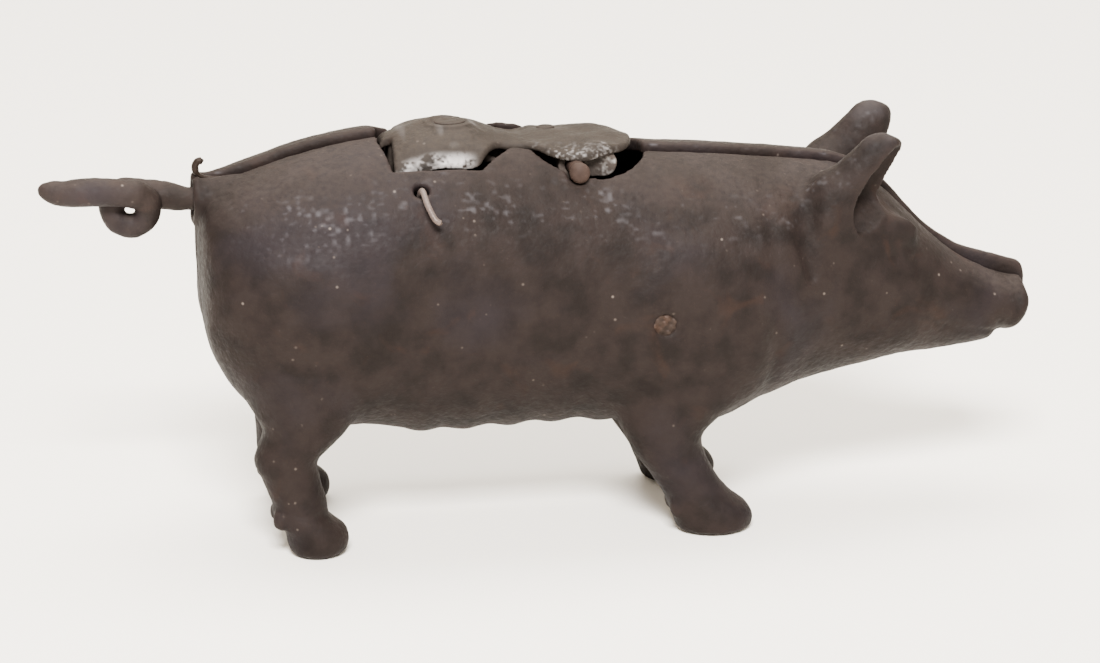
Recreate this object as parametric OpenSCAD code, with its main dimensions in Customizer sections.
// Cast-iron mechanical pig bank: pressing the tail lets a lid in the back swing
// up with a little man on it, while the coin plate at the lid's other end drops
// its coin inside. Millimetres. The snout points along +X, +Z is up, and the
// origin lies on the ground under the middle of the pig.

/* [Body] */
// Width of the body at its widest
body_w = 50; // [48:1:52]
// Thickness of the iron in the hollow body
wall = 2.8; // [2.4:0.1:3.2]
// How far the seam between the halves gapes at the height of the lid
seam_gap = 1.1; // [0.4:0.1:1.4]
// How far the left half stands above the right half along the back
left_rise = 1.2; // [0:0.1:1.4]
// How far the left half's head lies ahead of the right half's
left_lead = 0.8; // [0.1:0.1:1.2]
// Depth of the shallow scallops under the belly
teat_depth = 0.6; // [0:0.1:1.2]

/* [Back opening] */
// Half the width of the opening's rear part
opening_half_w = 13.4; // [13.3:0.1:14.2]
// Radius of the round part round the coin plate
opening_r = 13.2; // [12.9:0.1:13.5]
// Half the width of the neck between the two
opening_neck = 7.4; // [7.2:0.1:8.2]

/* [Lid] */
// Half the width of the rear lobe, which covers the little man
lobe_half_w = 12.9; // [12:0.1:12.9]
// Half the width of the lid's neck
lid_neck = 6.4; // [5.5:0.1:6.6]
// Radius of the coin plate
coin_plate_r = 11.7; // [11:0.1:11.8]
// Height of the lid's crown above the ground
lid_crown = 84.6; // [84.2:0.1:84.8]
// Thickness of the lid
lid_t = 1.7; // [1.4:0.1:2]

/* [Lid hinge] */
// Radius of the axle
axle_r = 1.8; // [1.6:0.05:1.9]
// Length of the axle
axle_len = 33; // [31:0.5:34]
// Clearance round a pin that turns
running_gap = 0.05; // [0.02:0.01:0.08]
// Distance from the axle down to the spring's eye
spring_arm = 12.6; // [11.5:0.1:13]

/* [Tail] */
// Radius of the tail's rod
tail_r = 2.5; // [2.2:0.05:2.6]
// Radius of the curl, to the middle of the rod
curl_r = 3.7; // [3.6:0.1:4]
// Radius of the tail's pivot pin
tail_pin_r = 1.5; // [1.3:0.1:1.7]
// Length of the tail's pivot pin
tail_pin_len = 16; // [14:0.5:17]

/* [Fasteners and springs] */
// Radius of the screw that holds the halves together
screw_r = 2; // [1.8:0.1:2.2]
// Radius of the screw's head
screw_head_r = 4.2; // [3.8:0.1:4.6]
// Radius of the wire of the lid's spring
spring_wire_r = 0.6; // [0.5:0.05:0.7]
// Turns in the lid's spring
spring_turns = 11; // [8:1:13]
// Radius of the wire of the tail's spring
tail_wire_r = 0.42; // [0.35:0.01:0.44]

/* [Hidden] */

IRON = "dimgray";
LID_IRON = "gray";
STEEL = "silver";

// Stations along the body: x, top of the back, underside, half the width
body_stations = [
    [-70.4, 67.5, 53.0, 6.0], [-69.7, 71.4, 46.2, 11.0], [-67.6, 73.3, 38.2, 15.2],
    [-63.4, 75.1, 30.8, 19.0], [-57, 77.2, 25.2, 22.3], [-49, 79.6, 23.4, 24.2],
    [-39, 81.6, 22.8, 25.0], [-26, 82.8, 20.9, 25.0], [-10, 82.0, 21.0, 24.6],
    [6, 79.4, 21.4, 24.6], [20, 76.9, 20.4, 25.0], [32, 75.9, 19.6, 25.0],
    [43, 74.8, 23.2, 23.8], [52, 73.8, 26.4, 20.6], [60, 72.6, 28.2, 18.0],
    [67.5, 69.2, 29.6, 16.8], [74.2, 63.2, 31.0, 15.2], [80.3, 57.1, 31.4, 13.0],
    [86.8, 51.8, 32.0, 10.8], [92.6, 48.6, 32.8, 9.3], [94.6, 47.8, 34.6, 8.9],
    [97, 47.0, 35.1, 8.7], [100.2, 46.2, 34.9, 8.8], [101.5, 44.8, 35.8, 8.0]
];
// Where the hollow inside starts and ends
hollow_from = -58;
hollow_to = 83;
// A section squarer than an ellipse, as the power of its sine and cosine
section_power = 0.96;
section_points = 15;
steps_a_station = 2;

teats_from = -31;
teats_to = 15;
teat_count = 5;

// Stations down a leg: height, middle x, half the length, middle y, half the width
rear_leg = [
    [38, -49.0, 14.0, -12.5, 10.5], [30, -50.3, 10.6, -13.6, 9.0], [25.5, -50.9, 8.4, -14.6, 7.4],
    [20, -54.6, 6.5, -15.2, 6.2], [16, -53.8, 5.8, -15.6, 5.6], [12, -52.6, 5.6, -15.9, 5.5],
    [8.5, -51.8, 5.6, -16.0, 5.8], [5, -49.2, 6.2, -16.1, 6.3], [1.8, -48.7, 5.8, -16.1, 6.2],
    [0, -48.8, 4.8, -16.1, 5.2]
];
front_leg = [
    [38, 28.5, 16.0, -12.5, 10.5], [29, 26.2, 13.6, -13.4, 9.4], [24, 23.4, 10.3, -14.2, 7.8],
    [20.5, 22.5, 8.0, -14.7, 6.8], [17, 23.5, 7.1, -15.1, 6.2], [12.4, 26.2, 6.6, -15.5, 5.9],
    [8.4, 29.0, 6.8, -15.8, 6.0], [5.5, 31.3, 7.9, -16.0, 6.3], [3, 32.6, 8.1, -16.1, 6.5],
    [1, 32.8, 7.6, -16.1, 6.3], [0, 32.8, 6.2, -16.1, 5.4]
];
// The left legs: the front one stands further back, the rear one's ham is slimmer behind
left_front_leg_shift = -2;
left_ham_trim = 2;
dewclaw_r = 1.6;
dewclaw_ys = [-13.2, -18.8];
rear_dewclaw = [-56.0, 7.2];
front_dewclaw = [24.6, 5.4];

// Stations up an ear, from its root to its tip: middle x, y, z, half the length, half the width
ear_stations = [
    [55.6, -11.0, 55.0, 8.3, 6.4], [57.0, -11.8, 61.0, 8.8, 6.2], [59.2, -12.4, 66.5, 8.6, 5.6],
    [62.7, -12.9, 71.5, 7.0, 4.7], [65.7, -13.2, 76.0, 5.4, 3.8], [67.7, -13.4, 79.0, 4.0, 2.8],
    [69.0, -13.5, 80.6, 2.2, 1.7]
];
left_ear_lead = 4.7;
snout_lift = 1.4;
ear_lean = 22;
ear_wall = 1.7;
ear_points = 16;
ear_scoop_x = 62.5;
ear_scoop_z = 61.5;
ear_scoop_shift = 4.2;

// Room left between parts that must not touch
part_gap = 0.5;

axle_x = 5.0;
axle_z = 76.2;

opening_rear_x = -33.7;
opening_rear_half = 6.2;
opening_notch = [-35.5, 7];
opening_rear_corner_x = -32.8;
opening_shoulder_x = -14.4;
opening_neck_x = -7.8;
opening_front_x = 7.2;
opening_floor_z = 58;

lobe_rear_x = -33.1;
lobe_front_x = -15.6;
lobe_rear_bow = 0.6;
coin_plate_x = 6.3;
lid_saddle_r = 18.3;
lid_crown_x = -21;
lid_rear_sag = 0.022;
lid_front_sag = 0.014;
coin_plate_top = 80.8;
coin_plate_drop = 0.8;

tail_x = -65;
tail_z = 70.1;
tail_exit_z = 70.6;
tail_tip_x = -99.3;
curl_x = -83.2;
curl_z = 69.1;
curl_shift = 2.3;
tail_hub_r = 3.6;
tail_hub_half = 2.9;
tail_slot_half = 3.4;
tail_slot_len = 12;
tail_roof = [3.7, 5.4];
tail_collar_r = 5;
tail_collar_x = -70.8;
tail_collar_len = 8;
arm_x = -51;
nose_x = -33.8;
nose_z = 73.6;
toe_x = -33.0;

screw_x = 20.5;
screw_z = 46.8;
screw_boss_r = 5;
screw_tip_y = -24.2;
screw_seat_y = 23.4;
screw_head_t = 1.8;
screw_slot_w = 1;

side_hole_x = -27.1;
side_hole_y = -16.9;
side_hole_z = 74.3;
side_hole_r = 1.8;
side_hole_lean = 38;
spring_eye_y = -5.6;
spring_eye_r = 1.1;

hub_r = 3.3;
hub_half = 9;
pad_len = 7.2;
arm_t = 2.4;
// The rounded lug ahead of the hub, under the right side of the coin plate
lug_x = 6;
lug_r = 2.7;
lug_t = 3;

rivet_x = -19;
lever_rivet_x = 1.4;
lever_rivet_y = 4.7;
rivet_r = 1.3;

// Where the i-th of n evenly spaced things lies, from 0 to 1
function share(i, n) = n > 1 ? i / (n - 1) : 0;
function mix(a, b, t) = a + (b - a) * t;
function smooth(t) = let (c = max(0, min(1, t))) c * c * (3 - 2 * c);

// Smooth curve through four neighbours, each a number or a list of numbers
function curve(p0, p1, p2, p3, t) =
    0.5 * (2 * p1 + (p2 - p0) * t + (2 * p0 - 5 * p1 + 4 * p2 - p3) * t * t
           + (3 * p1 - p0 - 3 * p2 + p3) * t * t * t);
function along(list, i, t) =
    let (n = len(list) - 1)
    curve(list[max(i - 1, 0)], list[i], list[min(i + 1, n)], list[min(i + 2, n)], t);
// A list of stations with more of them laid between
function refine(list, steps) = concat(
    [for (i = [0:len(list) - 2], k = [0:steps - 1]) along(list, i, k / steps)],
    [list[len(list) - 1]]);

// How far a section is moved ahead, from nothing at the shoulder to the whole lead at the ears
function head_lead(x, lead) = lead * smooth((x - 25) / 30);
// How much of the left half's rise a station has: all of it, but changing along the snout
function back_lift(s) = smooth((s[1] - 42) / 8) + snout_lift * smooth((s[0] - 86) / 11);
function seam_at(z) = seam_gap * z / lid_crown;
function raised(power, v) = sign(v) * pow(abs(v), power);

function teat_dip(x) =
    x < teats_from || x > teats_to ? 0
    : teat_depth * pow(sin(180 * teat_count * (x - teats_from) / (teats_to - teats_from)), 2);

// One section of a half: the rim runs from the underside to the back
function half_section(s, inset, rise, gap) =
    let (top = s[1] - inset + rise, bottom = s[2] + inset - (inset > 0 ? 0 : teat_dip(s[0])))
    let (width = (s[3] * body_w / 50) - inset)
    let (mid = (top + bottom) / 2, half = (top - bottom) / 2)
    [for (i = [0:section_points - 1])
        let (a = mix(-90, 90, share(i, section_points)))
        let (z = mid + half * raised(section_power, sin(a)))
        [s[0], -max(width * raised(section_power, cos(a)), gap ? seam_at(z) : 0), z]];

// A closed skin over rings that hold the same number of points each
module skin(rings) {
    n = len(rings[0]);
    last = len(rings) - 1;
    sides = [for (i = [0:last - 1], k = [0:n - 1])
        let (a = i * n + k, b = i * n + (k + 1) % n)
        each [[a, b, b + n], [a, b + n, a + n]]];
    polyhedron(points = [for (ring = rings) each ring],
               faces = concat([[for (k = [0:n - 1]) n - 1 - k]], sides,
                              [[for (k = [0:n - 1]) last * n + k]]));
}

// A round rod along a path, with a radius for each point
module rod(path, radii, sides = 8) {
    last = len(path) - 1;
    rings = [for (i = [0:last])
        let (d = path[min(i + 1, last)] - path[max(i - 1, 0)])
        let (u = cross(d, [0, 1, 0.02]) / norm(cross(d, [0, 1, 0.02])))
        let (v = cross(u, d) / norm(cross(u, d)))
        [for (k = [0:sides - 1])
            path[i] + radii[i] * (cos(360 * k / sides) * u + sin(360 * k / sides) * v)]];
    skin(rings);
}

// A rod of one thickness, smoothed through a few points
module wire(points, radius, steps = 4) {
    path = refine(points, steps);
    rod(path, [for (p = path) radius]);
}

// A limb lofted through level ellipses
module limb(stations, sides = 18) {
    skin([for (s = refine(stations, 2))
        [for (k = [0:sides - 1])
            [s[1] + s[2] * cos(360 * k / sides), s[3] + s[4] * sin(360 * k / sides), s[0]]]]);
}

// A casting taken as one smooth skin
module cast() {
    resize([0, 0, 0]) children();
}

// A leg's stations with its rear edge taken in above the hock
function trimmed(leg, trim) =
    [for (s = leg) let (t = trim * smooth((s[0] - 8) / 16)) [s[0], s[1] + t, s[2] - t, s[3], s[4]]];

// The pair of small toes at the back of a leg
module dewclaws(place) {
    for (y = dewclaw_ys) translate([place[0], y, place[1]]) sphere(r = dewclaw_r, $fn = 12);
}

// The ear's outer leaf, or the scoop inside it when inset and moved forward
module ear_leaf(inset, forward) {
    skin([for (s = refine(ear_stations, 2))
        [for (k = [0:ear_points - 1])
            let (a = 360 * k / ear_points)
            let (out = [max(s[3] - inset, 0.2) * cos(a), max(s[4] - inset, 0.2) * sin(a)])
            [s[0] + forward + out[0] * cos(ear_lean), s[1] - out[1],
             s[2] - out[0] * sin(ear_lean)]]]);
}

module ear() {
    difference() {
        ear_leaf(0, 0);
        intersection() {
            ear_leaf(ear_wall, ear_scoop_shift);
            translate([ear_scoop_x, -30, ear_scoop_z]) cube([40, 40, 30]);
        }
    }
}

// Outline of the opening in the back, seen from above
module opening_outline() {
    translate([opening_front_x, 0]) circle(r = opening_r, $fn = 40);
    polygon([
        [opening_rear_corner_x, -opening_half_w], [opening_shoulder_x, -opening_half_w],
        [opening_neck_x, -opening_neck], [opening_front_x, -opening_neck],
        [opening_front_x, opening_neck], [opening_neck_x, opening_neck],
        [opening_shoulder_x, opening_half_w], [opening_rear_corner_x, opening_half_w],
        opening_notch, [opening_rear_x, opening_rear_half], [opening_rear_x, -opening_rear_half],
        [opening_notch[0], -opening_notch[1]]
    ]);
}

// The hollow inside a half, reaching past the seam
module hollow(rise) {
    stations = [for (s = refine(body_stations, 1)) if (s[0] > hollow_from && s[0] < hollow_to) s];
    skin([for (s = stations)
        let (rim = half_section(s, wall, rise, false))
        concat([[s[0], 2, rim[0][2]]], rim, [[s[0], 2, rim[section_points - 1][2]]])]);
}

// What both halves share: body, leg, ear, hollow and the opening in the back
module half_casting(rise, lead, gap) {
    difference() {
        union() {
            difference() {
                union() {
                    skin([for (s = refine(body_stations, steps_a_station))
                        half_section(s + [head_lead(s[0], lead), 0, 0, 0], 0,
                                     rise * back_lift(s), gap)]);
                    limb(trimmed(rear_leg, lead > 0 ? left_ham_trim : 0));
                    dewclaws(rear_dewclaw);
                    translate([lead > 0 ? left_front_leg_shift : 0, 0, 0]) {
                        limb(front_leg);
                        dewclaws(front_dewclaw);
                    }
                    tail_collar(gap);
                    translate([lead > 0 ? left_ear_lead : 0, 0, 0]) ear();
                }
                hollow(rise);
                translate([0, 0, opening_floor_z]) linear_extrude(40) opening_outline();
            }
            translate([screw_x, -screw_seat_y, screw_z]) rotate([-90, 0, 0])
                cylinder(r = screw_boss_r, h = screw_seat_y - seam_at(screw_z), $fn = 24);
        }
    }
}

// Half of the collar round the tail where it leaves the rump
module tail_collar(gap) {
    intersection() {
        translate([tail_collar_x, 0, tail_exit_z]) rotate([0, 90, 0])
            cylinder(r = tail_collar_r, h = tail_collar_len, $fn = 32);
        translate([tail_collar_x - 1, -20, tail_exit_z - 10])
            cube([20, 20 - (gap ? seam_at(tail_exit_z) : 0), 20]);
    }
}

// Slots for the tail that both halves have
module tail_slots() {
    translate([tail_x, 0, tail_z]) rotate([90, 0, 0])
        cylinder(r = tail_hub_r + part_gap, h = 2 * tail_slot_half, center = true, $fn = 32);
    translate([tail_x - 10, 0, tail_exit_z]) rotate([0, 90, 0])
        cylinder(r = tail_slot_half, h = 12, $fn = 24);
    rotate([90, 0, 0]) linear_extrude(2 * tail_slot_half, center = true)
        polygon([[tail_x, tail_z - 3], [tail_x + tail_slot_len, tail_z - 3],
                 [tail_x + tail_slot_len, tail_z + tail_roof[1]], [tail_x, tail_z + tail_roof[0]]]);
}

// Round bores that both halves have for the screw and the tail's pin
module half_bores() {
    translate([screw_x, 0, screw_z]) rotate([90, 0, 0])
        cylinder(r = screw_r + running_gap, h = 60, center = true, $fn = 32);
    translate([tail_x, 0, tail_z]) rotate([90, 0, 0])
        cylinder(r = tail_pin_r, h = tail_pin_len + 0.4, center = true, $fn = 32);
    axle_seat();
}

// The open, half-round seat that the lid's axle lies in
module axle_seat() {
    r = axle_r + running_gap;
    translate([axle_x, 0, axle_z]) rotate([90, 0, 0])
        cylinder(r = r, h = 44, center = true, $fn = 32);
    translate([axle_x - r, -22, axle_z]) cube([2 * r, 44, 10]);
}

module right_half() {
    color(IRON) difference() {
        cast() difference() {
            half_casting(0, 0, true);
            tail_slots();
            translate([side_hole_x, side_hole_y, side_hole_z]) rotate([side_hole_lean, 0, 0])
                cylinder(r = side_hole_r, h = 14, center = true, $fn = 24);
        }
        half_bores();
    }
}

module left_half() {
    color(IRON) difference() {
        cast() difference() {
            mirror([0, 1, 0]) half_casting(left_rise, left_lead, false);
            tail_slots();
            translate([screw_x, screw_seat_y, screw_z]) rotate([-90, 0, 0])
                cylinder(r = screw_head_r + 0.3, h = 10, $fn = 32);
        }
        half_bores();
    }
}

module body_screw() {
    color(STEEL) translate([screw_x, 0, screw_z]) rotate([-90, 0, 0]) difference() {
        union() {
            translate([0, 0, screw_tip_y])
                cylinder(r = screw_r, h = screw_seat_y - screw_tip_y + 0.5, $fn = 32);
            translate([0, 0, screw_seat_y + 0.05])
                cylinder(r1 = screw_head_r, r2 = screw_head_r - 0.8, h = screw_head_t, $fn = 32);
        }
        translate([-screw_slot_w / 2, -6, screw_seat_y + screw_head_t - 0.6]) cube([screw_slot_w, 12, 4]);
    }
}

// Middle of the tail's rod: out of the rump, once round the curl and on to the tip
function tail_path() =
    let (over = curl_z + curl_r)
    concat(
        [[tail_x, 0, tail_z + 0.3], [tail_x - 3, 0, tail_exit_z - 0.1], [tail_x - 7, 0.4, tail_exit_z - 0.3]],
        [[curl_x + 7, curl_shift * 0.8, over - 0.8]],
        [for (a = [90:30:450])
            [curl_x + curl_r * cos(a), curl_shift * (270 - a) / 180, curl_z + curl_r * sin(a)]],
        [[curl_x - 5, -curl_shift, over + 0.5], [curl_x - 10, -curl_shift * 0.7, over + 0.5]],
        [[tail_tip_x + 3, -1, over + 0.4], [tail_tip_x, -0.8, over + 0.5]],
        [[tail_tip_x - 2, -0.8, over + 0.6]]);
// The rod's radius, rounded off over its last few points
function tail_radius(i, last) = i > last - 2 ? tail_r * 0.35 : i > last - 4 ? tail_r * 0.95 : tail_r;

module tail_rod() {
    path = refine(tail_path(), 2);
    rod(path, [for (i = [0:len(path) - 1]) tail_radius(i, len(path) - 1)], 12);
}

// The arm inside the pig, which ends in the nose of the catch
module tail_arm() {
    rotate([90, 0, 0]) linear_extrude(4, center = true)
        polygon([
            [tail_x, tail_z + 2.4], [arm_x, tail_z + 3.6], [nose_x - 3, nose_z + 1], [nose_x, nose_z + 1],
            [nose_x, nose_z - 0.8], [nose_x - 3.4, nose_z - 1.6], [arm_x, tail_z + 0.2],
            [tail_x, tail_z - 2.4]
        ]);
}

module tail_lever() {
    color(IRON) difference() {
        union() {
            cast() tail_rod();
            tail_arm();
            translate([tail_x, 0, tail_z]) rotate([90, 0, 0])
                cylinder(r = tail_hub_r, h = 2 * tail_hub_half, center = true, $fn = 32);
        }
        translate([tail_x, 0, tail_z]) rotate([90, 0, 0])
            cylinder(r = tail_pin_r + running_gap, h = 20, center = true, $fn = 32);
    }
}

module tail_pin() {
    color(STEEL) translate([tail_x, 0, tail_z]) rotate([90, 0, 0])
        cylinder(r = tail_pin_r, h = tail_pin_len, center = true, $fn = 32);
}

// Wire that presses the arm down: a hook above the rump, then along under the back
module tail_spring() {
    y = -seam_at(75) / 2;
    color(STEEL) wire([
        [-68.7, y, 78.4], [-69.6, y, 78.2], [-70.1, y, 77.2], [-69.8, y, 76.0], [-68.9, y, 75.2],
        [-67.2, y, 74.8], [-62, y, 74.5], [-57, y, 74.5], [-53, y, 74.3], [-50, y, 74.25]
    ], tail_wire_r, 2);
}

// Half the width of the lid at a place along it
function lobe_width(x) =
    x < lobe_rear_x + 1.6 ? lobe_half_w - 1.6 + sqrt(max(0, 2.56 - pow(lobe_rear_x + 1.6 - x, 2)))
    : x < lobe_front_x ? lobe_half_w
    : mix(lobe_half_w, lid_neck, smooth((x - lobe_front_x) / 6.4));
function plate_width(x) = sqrt(max(0, pow(coin_plate_r, 2) - pow(x - coin_plate_x, 2)));
function lid_width(x) = max(x < coin_plate_x ? lobe_width(x) : 0, plate_width(x), 0.6);
// The lobe's rear edge bows out towards the middle
function bowed(x, y) = x + lobe_rear_bow * pow(y / lobe_half_w, 2) * smooth((-22 - x) / 10);
// Height of the lid's top surface
function lid_top(x, y) =
    let (arch = sqrt(pow(lid_saddle_r, 2) - y * y) - lid_saddle_r)
    let (sag = x < lid_crown_x ? lid_rear_sag : lid_front_sag)
    let (saddle = lid_crown + arch - sag * pow(x - lid_crown_x, 2))
    let (dish = coin_plate_top - coin_plate_drop * pow(y / coin_plate_r, 2))
    mix(saddle, dish, smooth((x + 17) / 15));

module lid_plate() {
    xs = concat([lobe_rear_x, lobe_rear_x + 0.6, lobe_rear_x + 1.6, -28, -24, -20],
                [lobe_front_x, -14, -12.4, -10.8, -9.2, -7, -5.6],
                [for (a = [150:-15:0]) coin_plate_x + coin_plate_r * cos(a) * 0.999]);
    across = 10;
    color(LID_IRON) difference() {
        cast() union() {
            skin([for (x = xs)
                let (w = lid_width(x))
                concat([for (k = [across:-1:0])
                            let (y = mix(-w, w, k / across))
                            [bowed(x, y), y, lid_top(x, y) - lid_t]],
                       [for (k = [0:across])
                            let (y = mix(-w, w, k / across))
                            [bowed(x, y), y, lid_top(x, y)]])]);
            catch_toe();
        }
        translate([rivet_x, 0, 70]) cylinder(r = rivet_r + 0.02, h = 20, $fn = 32);
        translate([lever_rivet_x, lever_rivet_y, 76]) cylinder(r = rivet_r + 0.02, h = 10, $fn = 32);
    }
}

// The toe under the lid's rear edge that the tail's nose stands over
module catch_toe() {
    rotate([90, 0, 0]) linear_extrude(5, center = true)
        polygon([[toe_x + 1.6, 81.8], [toe_x + 3.6, 82.2], [toe_x + 2.6, 73.4], [toe_x + 2.3, 70.4],
                 [toe_x, 70.4], [toe_x, 71.7], [toe_x + 1, 72.4]]);
}

// Hub round the axle, with a pad up to the lid and an arm down to the eye for the spring
module hinge_lever() {
    under = coin_plate_top - coin_plate_drop - lid_t;
    color(IRON) difference() {
        union() {
            translate([axle_x, 0, axle_z]) rotate([90, 0, 0])
                cylinder(r = hub_r, h = 2 * hub_half, center = true, $fn = 32);
            translate([axle_x - pad_len, 1.4, axle_z - 1.2])
                cube([pad_len, 6.4, under - axle_z + 1.2 - 0.02]);
            translate([axle_x + lug_x, -hub_half, axle_z]) rotate([-90, 0, 0])
                cylinder(r = lug_r, h = lug_t, $fn = 32);
            translate([axle_x, -hub_half, axle_z - lug_r]) cube([lug_x, lug_t, 2 * lug_r]);
            translate([axle_x - 1.9, spring_eye_y - arm_t / 2, axle_z - spring_arm])
                cube([3.8, arm_t, spring_arm]);
            translate([axle_x, spring_eye_y, axle_z - spring_arm]) rotate([90, 0, 0])
                cylinder(r = 2.6, h = arm_t, center = true, $fn = 32);
        }
        translate([axle_x, 0, axle_z]) rotate([90, 0, 0])
            cylinder(r = axle_r + 0.01, h = 40, center = true, $fn = 32);
        translate([axle_x, spring_eye_y, axle_z - spring_arm]) rotate([90, 0, 0])
            cylinder(r = spring_eye_r, h = 6, center = true, $fn = 24);
        translate([lever_rivet_x, lever_rivet_y, 70])
            cylinder(r = rivet_r + 0.02, h = 16, $fn = 32);
        translate([axle_x - 8, -12, under]) cube([20, 24, 6]);
    }
}

// Ellipses along the little man, who lies on his back against the lid with his
// head towards the rear: distance from his feet, depth of his back, half the
// thickness, half the width
man_stations = [
    [0, 2.2, 1.6, 3.6], [1.2, 2.3, 1.9, 3.9], [4, 2.4, 1.9, 3.7], [8, 2.5, 2.2, 4.2],
    [11, 2.6, 2.6, 4.8], [14, 2.6, 2.7, 5.2], [17, 2.5, 2.4, 5.8], [18.6, 2.4, 1.8, 4.8],
    [19.6, 2.4, 1.4, 1.9], [20.6, 2.5, 1.5, 1.7], [21.6, 2.6, 2.2, 2.0], [23.2, 2.6, 2.5, 2.3],
    [24.8, 2.5, 2.2, 2.1], [25.6, 2.4, 1.2, 1.2]
];
// Stations along his arm: distance from his feet, distance from his middle, radius
man_arm = [[6.5, 3.6, 1.1], [9, 4.4, 1.4], [13, 5.6, 1.4], [17, 5.6, 1.3], [18.2, 4.4, 0.8]];
man_foot_x = -3.6;
man_gap = 0.35;
// Height of the line that his back follows
function man_top(x) = lid_top(x, 0) - lid_t - man_gap;

module little_man() {
    color(IRON) difference() {
        cast() union() {
            skin([for (s = refine(man_stations, 2))
                [for (k = [0:15])
                    let (x = man_foot_x - s[0])
                    [x, s[3] * cos(360 * k / 16), man_top(x) - s[1] + s[2] * sin(360 * k / 16)]]]);
            for (side = [-1, 1])
                skin([for (s = refine(man_arm, 2))
                    [for (k = [0:9])
                        let (x = man_foot_x - s[0])
                        [x, side * s[1] + s[2] * cos(36 * k), man_top(x) - 4.2 + s[2] * sin(36 * k)]]]);
        }
        translate([rivet_x, 0, 76.5]) cylinder(r = rivet_r + 0.02, h = 12, $fn = 32);
    }
}

module man_rivet() {
    head_r = 3.4;
    head_h = 0.55;
    ball_r = (head_r * head_r + head_h * head_h) / (2 * head_h);
    color(LID_IRON) union() {
        translate([rivet_x, 0, 78]) cylinder(r = rivet_r, h = lid_crown - 77.8, $fn = 32);
        translate([rivet_x, 0, lid_crown + 0.05]) intersection() {
            translate([0, 0, head_h - ball_r]) sphere(r = ball_r, $fn = 32);
            cylinder(r = 5, h = 5, $fn = 32);
        }
    }
}

module lever_rivet() {
    top = lid_top(lever_rivet_x, lever_rivet_y);
    color(LID_IRON) union() {
        translate([lever_rivet_x, lever_rivet_y, 75.4])
            cylinder(r = rivet_r, h = top - 75.2, $fn = 32);
        translate([lever_rivet_x, lever_rivet_y, top + 0.1])
            cylinder(r1 = 2, r2 = 1.6, h = 0.5, $fn = 32);
    }
}

module lid_axle() {
    color(IRON) union() {
        translate([axle_x, 0, axle_z]) rotate([90, 0, 0])
            cylinder(r = axle_r, h = axle_len - 1, center = true, $fn = 32);
        for (side = [-1, 1])
            translate([axle_x, side * (axle_len / 2 - 0.5), axle_z]) rotate([90, 0, 0])
                cylinder(r = axle_r - 0.35, h = 1, center = true, $fn = 32);
    }
}

// The lid's spring: a wire end out through the side, a coil, and a hook in the lever's eye
module main_spring() {
    coil_from = [-18.6, -10.2, 65.0];
    eye_y = spring_eye_y;
    coil_to = [-1.6, eye_y - 1.4, 64.0];
    coil_r = 1.9;
    ahead = (coil_to - coil_from) / norm(coil_to - coil_from);
    up = cross(ahead, [0, 1, 0]) / norm(cross(ahead, [0, 1, 0]));
    side = cross(up, ahead);
    steps = 10;
    color(STEEL) wire(concat(
        [[-24.3, -24.0, 69.8], [-25.4, -23.6, 70.6], [-26.5, -21.6, 72.9], [side_hole_x, -17.9, 74.9]],
        [[side_hole_x, -13.6, 70.4], [-24.6, -11.4, 66.6]],
        [for (i = [0:spring_turns * steps])
            coil_from + (coil_to - coil_from) * i / (spring_turns * steps)
            + coil_r * (cos(360 * i / steps) * up + sin(360 * i / steps) * side)],
        [[axle_x - 4.4, eye_y - 1.8, 63.2], [axle_x - 2.4, eye_y - 2.3, 63.1]],
        [[axle_x - 0.6, eye_y - 2.3, 63.4], [axle_x, eye_y - 1.4, 63.6]],
        [[axle_x, eye_y + 1.4, 63.6], [axle_x - 0.6, eye_y + 2.4, 63.9]]
    ), spring_wire_r, 1);
}

right_half();
left_half();
body_screw();
tail_lever();
tail_pin();
tail_spring();
lid_plate();
hinge_lever();
little_man();
man_rivet();
lever_rivet();
lid_axle();
main_spring();
